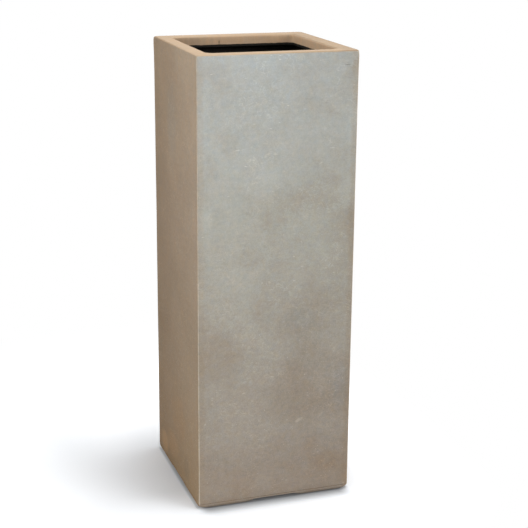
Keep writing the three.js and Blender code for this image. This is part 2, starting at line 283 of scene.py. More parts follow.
# Painted shade, multiplied into the coat on the sides turned from the light.
SHADED_TAN = (0.74, 0.69, 0.62)
SHADED_WASH = (0.86, 0.85, 0.84)
BLACK_RESIN = (0.010, 0.008, 0.006)
GLASS_STRAND = (0.036, 0.029, 0.022)
PITTED = (0.66, 0.60, 0.50)
PALE_SPECK = (0.68, 0.62, 0.54)
DARK_SPECK = (0.20, 0.155, 0.105)

# How far in from the outline, or down from the top, a band of the coat starts and is whole.
WALL_BAND = (4.6 * MM, 3.2 * MM)
LIP_BAND = (2.4 * MM, 0.8 * MM)
RUBBED_AND_HIGHLIT_BAND = (3.1 * MM, 1.6 * MM)
BACK_WASH = 0.62

# Marks on a side: place across and up, half length and half width in mm, tilt in degrees,
# how much lighter, and how much warmer.
FRONT_MARKS = (
    (0.149, 0.961, 9.0, 0.9, 2.0, -0.45, 0.0),
    (0.055, 0.184, 13.0, 4.5, 28.0, 0.30, 0.0),
    (0.037, 0.168, 9.0, 2.0, 28.0, 0.14, 0.0),
    (-0.002, 0.924, 18.0, 8.0, 14.0, 0.08, -0.02),
    (0.125, 0.902, 20.0, 3.0, 24.0, 0.07, 0.0),
    (-0.150, 0.655, 12.0, 16.0, 0.0, 0.05, 0.0),
    (-0.088, 0.795, 7.0, 1.6, 5.0, 0.32, 0.0),
    (0.119, 0.789, 8.0, 1.5, 0.0, 0.28, 0.0),
    (0.094, 0.758, 6.0, 2.0, 40.0, 0.22, 0.0),
    (-0.073, 0.262, 5.0, 1.5, 0.0, 0.36, 0.0),
    (-0.009, 0.293, 7.0, 1.3, 0.0, 0.32, 0.0),
    (0.122, 0.078, 36.0, 30.0, 0.0, -0.06, 0.04),
    (0.150, 0.255, 22.0, 70.0, 0.0, 0.0, -0.05),
    (0.053, 0.416, 46.0, 34.0, 0.0, -0.03, -0.02),
    (-0.075, 0.373, 2.6, 1.7, 0.0, 0.30, 0.0),
    (0.054, 0.370, 3.0, 1.6, 20.0, 0.26, 0.0),
    (-0.160, 0.200, 4.0, 2.2, 70.0, 0.24, 0.0),
    (0.134, 0.233, 3.2, 1.6, 0.0, 0.24, 0.0),
    (-0.104, 0.239, 2.6, 1.8, 0.0, 0.24, 0.0),
)
LEFT_MARKS = (
    (0.045, 0.062, 62.0, 40.0, 0.0, 0.12, 0.05),
    (0.120, 0.040, 40.0, 34.0, 0.0, 0.34, 0.04),
    (-0.075, 0.055, 26.0, 34.0, 0.0, -0.10, -0.03),
    (-0.010, 0.155, 70.0, 60.0, 0.0, 0.0, 0.05),
    (0.026, 0.823, 44.0, 110.0, 0.0, 0.0, -0.06),
    (-0.028, 0.231, 6.0, 3.0, 0.0, -0.26, 0.0),
)
# In the opening: a dark paint drip on the back, and a painted highlight in the back right corner.
RETURN_DRIP_AND_PAINTED_HIGHLIGHT = (
    (-0.032, 0.976, 2.4, 5.0, 0.0, -0.40, 0.0),
    (0.138, 0.985, 6.0, 5.0, 0.0, 0.22, 0.0),
)


def marks(sheet, across, up, listed):
    """How much the scuffs, stains and painted highlights on a side lighten it, and how much they
    warm it.
    """
    lighter, warmer = 0.0, 0.0
    for place_across, place_up, length, width, tilt, lightening, warming in listed:
        cosine, sine = math.cos(math.radians(tilt)), math.sin(math.radians(tilt))
        from_across, from_up = across - place_across, up - place_up
        along = (from_across * cosine + from_up * sine) / (length * MM)
        over = (from_up * cosine - from_across * sine) / (width * MM)
        mark = sheet.fade(along * along + over * over, 0.15, 1.0, 1.0, 0.0)
        lighter = mark * lightening + lighter
        warmer = mark * warming + warmer
    return lighter, warmer


def spots(sheet, coordinates, spacing, kept, radius):
    """Small round spots: one in each kept cell, 1 in the middle of a spot and 0 outside."""
    cells = sheet.node("ShaderNodeTexVoronoi", None, {
        "Vector": coordinates, "Scale": 1 / spacing, "Randomness": 0.9}, "Distance")
    chance, _, _ = sheet.parts(cells.of_same_node("Color"))
    return (sheet.fade(cells, radius / spacing * 0.5, radius / spacing, 1.0, 0.0)
            * sheet.fade(chance, kept - 0.02, kept, 1.0, 0.0))


def scuffs(sheet, coordinates):
    """Short level dashes where the coat was brushed, in loose groups, from 0 to 1."""
    groups = sheet.fade(sheet.noise(coordinates, 14.0, 2.0, 0.5, 0.0, seed=11.0), 0.47, 0.60)
    level = sheet.scaled(coordinates, (0.22, 0.22, 1.0))
    return spots(sheet, level, 4 * MM, 0.13, 0.8 * MM) * groups


def hairlines(sheet, coordinates):
    """Thin wandering lines that the trowel left in the coat, from 0 to 1."""
    patches = sheet.fade(sheet.noise(coordinates, 11.0, 2.0, 0.5, 0.0, seed=13.0), 0.42, 0.60)
    wandering = sheet.noise(sheet.scaled(coordinates, (24.0, 24.0, 34.0)), 1.0, 3.0, 0.6, 1.4,
                            seed=12.0) - 0.5
    return sheet.fade(abs(wandering), 0.0, 0.018, 1.0, 0.0) * patches


def glass_strands(sheet, coordinates):
    """The chopped strands that show through bare resin, from 0 to 1."""
    crossing = 0.0
    for tilt, seed in ((0.3, 21.0), (1.25, 22.0), (2.2, 23.0)):
        turned = sheet.node("ShaderNodeVectorRotate", {"rotation_type": "EULER_XYZ"}, {
            "Vector": coordinates, "Rotation": (tilt, tilt * 1.7, tilt * 0.6)})
        strand = sheet.noise(sheet.scaled(turned, (420.0, 420.0, 38.0)), 1.0, 2.0, 0.6, 0.3, seed)
        crossing = sheet.fade(strand, 0.56, 0.72) * 0.5 + crossing
    return crossing


def coat_places(sheet, coordinates):
    """Where a point of the coat lies: lengths in metres, and shares from 0 to 1."""
    x, y, z = sheet.parts(coordinates)
    facing_x, facing_y, facing_z = sheet.parts(coordinates.of_same_node("Normal"))
    at = SimpleNamespace(x=x, y=y, z=z)
    at.reach = abs(x).at_least(abs(y))
    at.corner_reach = abs(x).at_most(abs(y))
    at.to_side = HALF - abs(x)
    at.to_edge = at.to_side.at_most(HEIGHT - z)
    round_the_foot = sheet.fade(z, BASE_CORNER_DEPTH, BASE_CORNER_DEPTH + 4 * MM, 1.0, 0.0)
    wall_low, wall_high = WALL_BAND
    at.on_wall = sheet.fade(at.reach, HALF - wall_low, HALF - wall_high).at_least(round_the_foot)
    lip_low, lip_high = LIP_BAND
    at.outside = at.on_wall * sheet.fade(z, HEIGHT - lip_low, HEIGHT - lip_high, 1.0, 0.0)
    at.flat_top = sheet.fade(facing_z, 0.5, 0.8)
    at.in_opening = (sheet.fade(at.reach, OPENING_HALF + 3.0 * MM, OPENING_HALF + 1.0 * MM)
                     * sheet.fade(facing_z, 0.15, 0.75, 1.0, 0.0))
    at.back_of_opening = at.in_opening * sheet.fade(y, OPENING_HALF - 3 * MM,
                                                    OPENING_HALF - 1 * MM)
    at.front = sheet.fade(facing_y, -0.9, -0.5, 1.0, 0.0) * at.on_wall
    at.left = sheet.fade(facing_x, -0.9, -0.5, 1.0, 0.0) * at.on_wall
    # How far a side faces the front and right, towards the lamps; it steers the grey wash and its
    # painted sheen.
    at.front_and_right = sheet.fade(facing_y * -0.94 + facing_x * 0.34, 0.1, 0.7)
    at.back_or_right = facing_x.at_least(facing_y)
    return at


def coat_textures(sheet, coordinates, at):
    """The noises of the coat, from about -0.5 to 0.5, and its fine marks, from 0 to 1."""
    def noise(*settings, seed):
        return sheet.noise(coordinates, *settings, seed=seed) - 0.5

    def drawn_out(across, up, *settings, seed):
        vector = sheet.scaled(coordinates, (across, across, up))
        return sheet.noise(vector, 1.0, *settings, seed=seed) - 0.5

    round_the_rim = sheet.vector(at.reach * 330.0, (at.x + at.y) * 12.0, 0.0)
    return SimpleNamespace(
        clouds=noise(7.0, 3.0, 0.5, 0.4, seed=1.0),
        blotches=noise(24.0, 3.0, 0.7, 0.6, seed=2.0),
        hue=noise(30.0, 3.0, 0.7, 0.5, seed=8.0),
        ragged=noise(45.0, 2.0, 0.5, 0.0, seed=6.0),
        tint=noise(80.0, 2.0, 0.6, 0.5, seed=7.0),
        mottle=noise(110.0, 3.0, 0.8, 0.3, seed=3.0),
        grain=noise(400.0, 2.0, 0.8, 0.0, seed=4.0),
        strokes=drawn_out(24.0, 130.0, 3.0, 0.65, 0.8, seed=5.0),
        runs=drawn_out(150.0, 16.0, 2.0, 0.6, 0.3, seed=10.0),
        rim_strokes=sheet.noise(round_the_rim, 1.0, 2.0, 0.6, 0.2, seed=9.0) - 0.5,
        brushed=scuffs(sheet, coordinates) * at.outside,
        trowelled=hairlines(sheet, coordinates) * at.outside,
        pits=spots(sheet, coordinates, 13 * MM, 0.14, 1.4 * MM) * at.outside)


def wash_and_sheen_share(sheet, at, texture):
    """How much of the grey lies over the tan, partly a wash and partly a painted cool sheen: most
    on the front, which faces the light, thin along the edges.
    """
    blotches = texture.blotches
    wash_and_sheen = at.front_and_right.at_least(sheet.fade(at.back_or_right, 0.2, 0.9) * BACK_WASH)
    wash_and_sheen = wash_and_sheen * at.outside
    wash_and_sheen = wash_and_sheen * sheet.fade(at.to_edge + blotches * (3 * MM), 1 * MM, 5 * MM, 0.66, 1.0)
    wash_and_sheen = wash_and_sheen * sheet.fade(at.to_side + blotches * (12 * MM), 10 * MM, 18 * MM, 0.80, 1.0)
    return wash_and_sheen * sheet.fade(texture.clouds + blotches * 0.5, -0.25, 0.1, 0.80, 1.0)


def coat_ground(sheet, at, texture):
    """The tan of the walls, rim and return, with painted light in the return, the grey wash with
    its painted sheen, painted shade on the far sides, and the rubbed corners with a painted
    highlight.
    """
    # The height ramps make the walls lighter towards the top, partly painted light from above.
    height = at.z / HEIGHT + texture.clouds * 0.30 + texture.blotches * 0.06
    wash_and_sheen = wash_and_sheen_share(sheet, at, texture)
    tan = sheet.blend(at.outside, sheet.blend(at.in_opening, RIM_TAN, RETURN_TAN_WITH_PAINTED_LIGHT),
                      sheet.ramp(height, BASE_TAN))
    # Grey over the tan: partly a wash, partly a painted cool sheen.
    colour = sheet.blend(wash_and_sheen, tan, sheet.ramp(height, GREY_WASH_AND_SHEEN))
    # Painted shade: darker away from the front-left corner, towards the right on the front and
    # towards the back on the left, and only a little on the back and the right.
    away = sheet.fade((at.x + at.y) / (2 * HALF), -1.0, 0.0) * at.on_wall
    away = away * sheet.fade(at.back_or_right, 0.3, 0.9, 1.0, 0.15)
    painted_shade = sheet.blend(away, (1.0, 1.0, 1.0), sheet.blend(wash_and_sheen, SHADED_TAN, SHADED_WASH))
    colour = sheet.blend(1.0, colour, painted_shade, "MULTIPLY")
    # Upright corners lighter: partly rubbed coat, partly a painted highlight.
    rubbed_and_highlit_low, rubbed_and_highlit_high = RUBBED_AND_HIGHLIT_BAND
    rubbed_and_highlit = sheet.fade(at.corner_reach, HALF - rubbed_and_highlit_low, HALF - rubbed_and_highlit_high) * at.on_wall
    return sheet.blend(rubbed_and_highlit * sheet.fade(texture.blotches, -0.3, 0.2, 0.55, 0.90),
                       colour, RUBBED_EDGE_AND_HIGHLIGHT)


def with_marks(sheet, at, texture, colour):
    """The coat's colour, made lighter, darker and warmer by its noises and its marks, with painted
    light in the opening.
    """
    front_lighter, front_warmer = marks(sheet, at.x, at.z, FRONT_MARKS)
    left_lighter, left_warmer = marks(sheet, at.y, at.z, LEFT_MARKS)
    drip_and_painted_highlight, _ = marks(sheet, at.x, at.z, RETURN_DRIP_AND_PAINTED_HIGHLIGHT)
    coarser_low_down = sheet.fade(at.z, 0.15, 0.75, 1.9, 1.3)
    fine = ((texture.mottle * 0.24 + texture.grain * 0.34)
            * sheet.between(at.outside, 0.6, coarser_low_down))
    on_rim = texture.rim_strokes * 0.22 + sheet.fade(at.x, 0.135, 0.150, 0.0, -0.14)
    # In the opening, paint runs and painted light: darker at the left of the back, lighter on the
    # right side, which the lamps hardly reach.
    runs_and_painted_light_on_return = (texture.runs * 0.20 + sheet.fade(at.x, -0.12, 0.02, -0.24, 0.0)
                 + sheet.fade(at.x, OPENING_HALF - 6 * MM, OPENING_HALF - 1 * MM, 0.0, 0.36))
    on_front = front_lighter + sheet.fade(at.z, 10 * MM, 110 * MM, 0.10, 0.0)
    shade = (1.0 + texture.clouds * 0.22 + texture.blotches * 0.20 + fine
             + texture.strokes * 0.15 + texture.brushed * 0.50 + texture.trowelled * 0.18
             + on_rim * at.flat_top + runs_and_painted_light_on_return * at.in_opening + on_front * at.front
             + left_lighter * at.left + (drip_and_painted_highlight - 0.05) * at.back_of_opening)
    warm = (texture.tint * 0.16 + texture.hue * 0.10
            + front_warmer * at.front + left_warmer * at.left)
    green = texture.hue * -0.05 + texture.tint * 0.04
    tinted = sheet.vector(warm + 1.0, green + 1.0, warm * -1.3 + 1.0)
    return sheet.blend(1.0, shaded_by(sheet, colour, shade), tinted, "MULTIPLY")


def with_spots(sheet, coordinates, at, texture, colour):
    """The coat's colour with its pale specks, dark grit and shallow pits."""
    specks = spots(sheet, coordinates, 5 * MM, 0.22, 1.1 * MM)
    colour = sheet.blend(specks * sheet.fade(at.z, 0.1, 0.7, 0.34, 0.12) * at.outside,
                         colour, PALE_SPECK)
    grit = spots(sheet, sheet.summed(coordinates, (0.31, 0.17, 0.23)), 7 * MM, 0.14, 1.0 * MM)
    colour = sheet.blend(grit * 0.22 * at.outside, colour, DARK_SPECK)
    return sheet.blend(texture.pits * 0.5, colour, PITTED)


def bare_share(sheet, at, ragged):
    """1 where the coat stops and the black laminate shows, and 0 on the coat."""
    coat_edge = ragged * (3.0 * MM) + (HEIGHT - COAT_DEPTH)
    behind_return = sheet.fade(at.reach, OPENING_HALF + 3.0 * MM, OPENING_HALF + 3.4 * MM)
    below_edge = sheet.fade(at.z - coat_edge, -0.35 * MM, 0.35 * MM, 1.0, 0.0)
    on_underside = 150 * MM
    in_base = BOND_HALF - UPSTAND_THICKNESS + 0.4 * MM
    wider_in_shell = UPSTAND_THICKNESS + 1.6 * MM
    room_edge = (sheet.fade(at.z, 3.0 * MM, 3.4 * MM, on_underside, in_base)
                 + sheet.fade(at.z, SEAM_HEIGHT - 0.2 * MM, SEAM_HEIGHT, 0.0, wider_in_shell)
                 + ragged * sheet.fade(at.z, 1.0 * MM, 3.0 * MM, 9 * MM, 0.0))
    in_the_room = sheet.fade(at.reach - room_edge, 0.0, 0.4 * MM, 1.0, 0.0)
    not_on_rim = sheet.fade(at.z, RIM_UNDERSIDE + 2.0 * MM, RIM_UNDERSIDE + 2.4 * MM, 1.0, 0.0)
    return behind_return.at_least(below_edge) * in_the_room * not_on_rim


def make_stone_coat():
    material, sheet, coordinates = new_material("stone_coat_over_black_laminate")
    at = coat_places(sheet, coordinates)
    texture = coat_textures(sheet, coordinates, at)
    colour = coat_ground(sheet, at, texture)
    colour = with_marks(sheet, at, texture, colour)
    colour = with_spots(sheet, coordinates, at, texture, colour)
    bare = bare_share(sheet, at, texture.ragged)
    strands = glass_strands(sheet, coordinates)
    colour = sheet.blend(bare, colour, sheet.blend(strands, BLACK_RESIN, GLASS_STRAND))

    relief = (texture.clouds + texture.blotches * 0.5 + texture.mottle * 0.16
              + texture.grain * 0.05 - texture.pits * 0.10
              - texture.brushed * 0.08 + texture.trowelled * 0.06)
    relief = sheet.between(bare, relief, strands * 0.35 + texture.mottle * 0.3)
    finish_surface(sheet, colour, texture.blotches * 0.3 + 0.66, 0.3, relief, 0.6, 1.0 * MM)
    return material


# ---------------- inside finishes

INSIDE_DUST = (0.07, 0.06, 0.05)
SHELF_RESIN = (0.026, 0.024, 0.021)
SHELF_STRAND = (0.055, 0.050, 0.044)
SHELF_DUST = (0.12, 0.105, 0.085)
BLACK_RUBBER = (0.010, 0.010, 0.011)
RUBBER_BLOOM = (0.032, 0.031, 0.030)


def make_dark_finish(name, resin, strand, roughness, dust):
    """Bare resin over glass strands, with dust lying on what faces up."""
    material, sheet, coordinates = new_material(name)
    _, _, facing_z = sheet.parts(coordinates.of_same_node("Normal"))
    strands = glass_strands(sheet, coordinates)
    clouds = sheet.noise(coordinates, 18.0, 3.0, 0.6, 0.4, seed=31.0) - 0.5
    grain = sheet.noise(coordinates, 500.0, 2.0, 0.7, 0.0, seed=32.0) - 0.5
    colour = sheet.blend(strands, resin, strand)
    colour = shaded_by(sheet, colour, 1.0 + clouds * 0.8 + grain * 0.5)
    settled = sheet.fade(facing_z, 0.5, 0.95) * sheet.fade(clouds + grain * 0.3, -0.1, 0.2)
    colour = sheet.blend(settled * 0.35, colour, dust)
    scuffs = sheet.noise(sheet.scaled(coordinates, (160.0, 22.0, 60.0)), 1.0, 2.0, 0.6, 0.5, 33.0)
    colour = sheet.blend(sheet.fade(scuffs, 0.62, 0.72) * 0.18, colour, dust)
    relief = strands * 0.5 + grain * 0.3 + clouds * 0.4
    finish_surface(sheet, colour, clouds * 0.4 + roughness, 0.35, relief, 0.5, 0.5 * MM)
    return material


def make_rubber():
    """Moulded black rubber with a bloom, and handling shine on the grip."""
    material, sheet, coordinates = new_material("moulded_black_rubber")
    _, _, z = sheet.parts(coordinates)
    bloom = sheet.noise(coordinates, 90.0, 3.0, 0.6, 0.3, seed=41.0) - 0.5
    grain = sheet.noise(coordinates, 1400.0, 2.0, 0.6, 0.0, seed=42.0) - 0.5
    colour = sheet.blend(sheet.fade(bloom, -0.05, 0.2), BLACK_RUBBER, RUBBER_BLOOM)
    colour = shaded_by(sheet, colour, 1.0 + grain * 0.5)
    handled = sheet.fade(z, PLUG_TOP - 6 * MM, PLUG_TOP - 2 * MM)
    roughness = bloom * 0.3 + 0.78 - handled * 0.2
    finish_surface(sheet, colour, roughness, 0.4, grain + bloom, 0.4, 0.2 * MM)
    return material


# ---------------- sections

# A point of a section: half width, height, the half width at which its corners are centred,
# how round its ring is, how much it is raised over an arch, and how much it is cut by one.


def arc(centre_half, centre_z, radius, from_degrees, to_degrees, steps=6):
    """A rounded corner in a section, as points (half width, height)."""
    points = []
    for step in range(steps + 1):
        angle = math.radians(from_degrees + (to_degrees - from_degrees) * step / steps)
        points.append((centre_half + radius * math.cos(angle),
                       centre_z + radius * math.sin(angle)))
    return points


def with_corners(points, radius_at, round_at=lambda half: 0.0, raised=0.0, cut=0.0):
    """Section points from plain ones, with the corner radius that each one's ring has."""
    return [(half, z, half - radius_at(half, z), round_at(half), raised, cut)
            for half, z in points]


def filled_in(section, pitch, closed):
    """Puts more points on a section's straight runs, no further apart than the pitch."""
    filled = []
    ends = section[1:] + section[:1] if closed else section[1:]
    for start, end in zip(section, ends):
        length = math.hypot(end[0] - start[0], end[1] - start[1])
        steps = max(1, math.ceil(length / pitch(start, end)))
        for step in range(steps):
            share = step / steps
            filled.append(tuple(a + (b - a) * share for a, b in zip(start, end)))
    return filled if closed else filled + section[-1:]


def outside_corner(half, z):
    """The upright corners are tight, and round off towards the ground and the flat top."""
    radius = CORNER_RADIUS + half - HALF
    share = max(0.0, 1 - z / BASE_CORNER_DEPTH) ** 1.5
    radius += (BASE_CORNER_RADIUS - radius) * share
    share = max(0.0, 1 - (HEIGHT - z) / RIM_CORNER_DEPTH) ** 2
    return radius + (RIM_CORNER_RADIUS - radius) * share


def shell_section():
    """Up the outside, over the rim, down and up round the return, and down the inside."""
    edge = RETURN_THICKNESS / 2
    return_foot = HEIGHT - RETURN_DEPTH + edge
    return_back = OPENING_HALF + RETURN_THICKNESS
    outside = arc(FOOT_HALF - SEAM_EDGE_RADIUS, WALL_FOOT + SEAM_EDGE_RADIUS,
                  SEAM_EDGE_RADIUS, -90, 0)
    outside.append((FOOT_HALF, BASE_CORNER_DEPTH))
    flare_steps = 8
    for step in range(flare_steps + 1):
        share = step / flare_steps
        swell = share * share * (3 - 2 * share)
        outside.append((WALL_HALF + FLARE * swell,
                        HEIGHT - FLARE_FOOT + (FLARE_FOOT - FLARE_TOP) * share))
    rim_steps = 4
    for step in range(rim_steps):
        outside.append((HALF, HEIGHT - RIM_CORNER_DEPTH
                        + (RIM_CORNER_DEPTH - RIM_EDGE_RADIUS) * step / rim_steps))
    outside += arc(HALF - RIM_EDGE_RADIUS, HEIGHT - RIM_EDGE_RADIUS, RIM_EDGE_RADIUS, 0, 90)
    opening = arc(OPENING_HALF + OPENING_EDGE_RADIUS, HEIGHT - OPENING_EDGE_RADIUS,
                  OPENING_EDGE_RADIUS, 90, 180)
    opening += arc(OPENING_HALF + edge, return_foot, edge, 180, 360, 10)
    opening += arc(return_back + RETURN_FILLET, RIM_UNDERSIDE - RETURN_FILLET,
                   RETURN_FILLET, 180, 90)
    inside = arc(INSIDE_HALF - RIM_FILLET, RIM_UNDERSIDE - RIM_FILLET, RIM_FILLET, 90, 0)
    inside.append((INSIDE_HALF, WALL_FOOT))
    section = with_corners(outside, outside_corner)
    section += with_corners(opening, lambda half, z: OPENING_CORNER_RADIUS + half - OPENING_HALF)
    section += with_corners(inside, lambda half, z: INSIDE_CORNER_RADIUS)

    def pitch(start, end):
        on_inside = max(start[0], end[0]) < INSIDE_HALF + 0.1 * MM and start[1] < RIM_UNDERSIDE
        return 20 * MM if on_inside and start[0] > OPENING_HALF + RETURN_THICKNESS else 6 * MM

    return filled_in(section, pitch, closed=True)


def base_section():
    """Out under the floor, up the rounded edge to the seam, round the upstand, and back in."""
    tray_half = BOND_HALF - UPSTAND_THICKNESS
    tray_corner = BOND_CORNER_RADIUS - UPSTAND_THICKNESS
    lip, drain_edge = 1.4 * MM, 0.8 * MM
    square_from, between = 130 * MM, 90 * MM

    def near_drain(half):
        return min(1.0, max(0.0, (square_from - half) / (75 * MM)))

    def floor_corner(half, z):
        return half * (1 - near_drain(half)) * 0.12 + half * near_drain(half) * 0.1

    underside = with_corners([(DRAIN_RADIUS, 0.0), (DISH_SEAT_RADIUS, 0.0), (DISH_RADIUS, 0.0),
                              (between, 0.0), (square_from, 0.0)], floor_corner, near_drain,
                             cut=1.0)
    underside += with_corners(arc(FOOT_HALF - BASE_EDGE_RADIUS, BASE_EDGE_RADIUS,
                                  BASE_EDGE_RADIUS, -90, 0, 9), outside_corner, cut=1.0)
    seam = with_corners(arc(FOOT_HALF - SEAM_EDGE_RADIUS, SEAM_HEIGHT - SEAM_EDGE_RADIUS,
                            SEAM_EDGE_RADIUS, 0, 90), outside_corner)
    upstand = with_corners([(BOND_HALF, SEAM_HEIGHT)]
                           + arc(BOND_HALF - lip, UPSTAND_TOP - lip, lip, 0, 90, 4)
                           + arc(tray_half + lip, UPSTAND_TOP - lip, lip, 90, 180, 4),
                           lambda half, z: BOND_CORNER_RADIUS + half - BOND_HALF)
    fillet_z = FLOOR_THICKNESS + FLOOR_FILLET
    tray = with_corners([(tray_half, fillet_z + ARCH_HEIGHT * 1.5)], lambda half, z: tray_corner)
    tray += with_corners(arc(tray_half - FLOOR_FILLET, fillet_z, FLOOR_FILLET, 0, -90),
                         lambda half, z: tray_corner, raised=1.0)
    dish_z = FLOOR_THICKNESS - DISH_DEPTH
    floor = with_corners([(square_from, FLOOR_THICKNESS), (between, FLOOR_THICKNESS),
                          (DISH_RADIUS, FLOOR_THICKNESS), (DISH_SEAT_RADIUS, dish_z),
                          (DRAIN_RADIUS + drain_edge, dish_z),
                          (DRAIN_RADIUS, dish_z - drain_edge)],
                         floor_corner, near_drain, raised=1.0)
    return filled_in(underside + seam + upstand + tray + floor,
                     lambda start, end: 6 * MM, closed=True)


def plug_section():
    """A rubber bung from the blind hollow in its end, up its outside, to the top of its grip."""
    flange_z = 11.8 * MM
    body, end, hollow, flange, neck = 14.7 * MM, 13.5 * MM, 9.0 * MM, 22.0 * MM, 4.5 * MM
    grip, grip_half = 9.0 * MM, 3.0 * MM
    grip_z = PLUG_TOP - grip_half
    points = [(0.0, PLUG_FOOT + 6 * MM)]
    points += arc(hollow - 1 * MM, PLUG_FOOT + 5 * MM, 1 * MM, 90, 0, 3)
    points += arc(hollow + 1 * MM, PLUG_FOOT + 1 * MM, 1 * MM, 180, 270, 4)
    points += arc(end - 1 * MM, PLUG_FOOT + 1 * MM, 1 * MM, -90, 0, 4)
    points += [(body - 0.1 * MM, flange_z - 1 * MM), (body + 0.7 * MM, flange_z)]
    points += arc(flange - 1 * MM, flange_z + 1 * MM, 1 * MM, -90, 0, 4)
    points += arc(flange - 1 * MM, flange_z + 2 * MM, 1 * MM, 0, 90, 4)
    points += arc(neck + 1.5 * MM, flange_z + 4.5 * MM, 1.5 * MM, 270, 180, 4)
    points += arc(neck + 0.8 * MM, grip_z - grip_half - 0.8 * MM, 0.8 * MM, 180, 90, 3)
    points += arc(grip - grip_half, grip_z, grip_half, -90, 90, 12)
    points.append((0.0, PLUG_TOP))
    section = with_corners(points, lambda half, z: half * 0.1, lambda half: 1.0)
    return filled_in(section, lambda start, end: 1.5 * MM, closed=False)


def shelf_section():
    """Out under the plate, down and up round the skirt, and in over the plate."""
    underside = SHELF_TOP - SHELF_THICKNESS
    corner_fillet, foot_edge = 2 * MM, 1 * MM
    points = [(0.0, underside)]
    points += arc(SHELF_ROOM_HALF - corner_fillet, underside - corner_fillet, corner_fillet,
                  90, 0, 4)
    points += arc(SHELF_ROOM_HALF + foot_edge, SKIRT_FOOT + foot_edge, foot_edge, 180, 270, 3)
    points += arc(SHELF_HALF - foot_edge, SKIRT_FOOT + foot_edge, foot_edge, -90, 0, 3)
    points += arc(SHELF_HALF - SHELF_EDGE_RADIUS, SHELF_TOP - SHELF_EDGE_RADIUS,
                  SHELF_EDGE_RADIUS, 0, 90)
    points.append((0.0, SHELF_TOP))

    def corner(half, z):
        return SHELF_CORNER_RADIUS * half / SHELF_HALF

    return filled_in(with_corners(points, corner), lambda start, end: 22 * MM, closed=False)


# ---------------- shape trees


def new_tree(name, inputs):
    tree = bpy.data.node_groups.new(name, "GeometryNodeTree")
    sheet = Sheet(tree)
    keys = {}
    for label, kind in inputs.items():
        socket = tree.interface.new_socket(label, in_out="INPUT", socket_type="NodeSocket" + kind)
        keys[label] = socket.identifier
    tree.interface.new_socket("Geometry", in_out="OUTPUT", socket_type="NodeSocketGeometry")
    entry = sheet.node("NodeGroupInput")
    return (tree, keys), sheet, {label: entry.of_same_node(label) for label in inputs}


def end_tree(sheet, geometry, material, sharp_degrees=None):
    """Shades smooth, except over sharp edges, and ends the tree as plain coated mesh."""
    smooth = sheet.node("GeometryNodeSetShadeSmooth", None, {"Geometry": geometry})
    if sharp_degrees:
        edge = sheet.node("GeometryNodeInputMeshEdgeAngle")
        sharp = sheet.fade(edge, math.radians(sharp_degrees), math.radians(sharp_degrees + 1))
        smooth = sheet.node("GeometryNodeSetShadeSmooth", {"domain": "EDGE"}, {
            "Geometry": smooth, "Selection": sharp, "Shade Smooth": False})
    real = sheet.node("GeometryNodeRealizeInstances", None, {"Geometry": smooth})
    coated = sheet.node("GeometryNodeSetMaterial", None, {"Geometry": real, "Material": material})
    sheet.node("NodeGroupOutput", None, {0: coated})


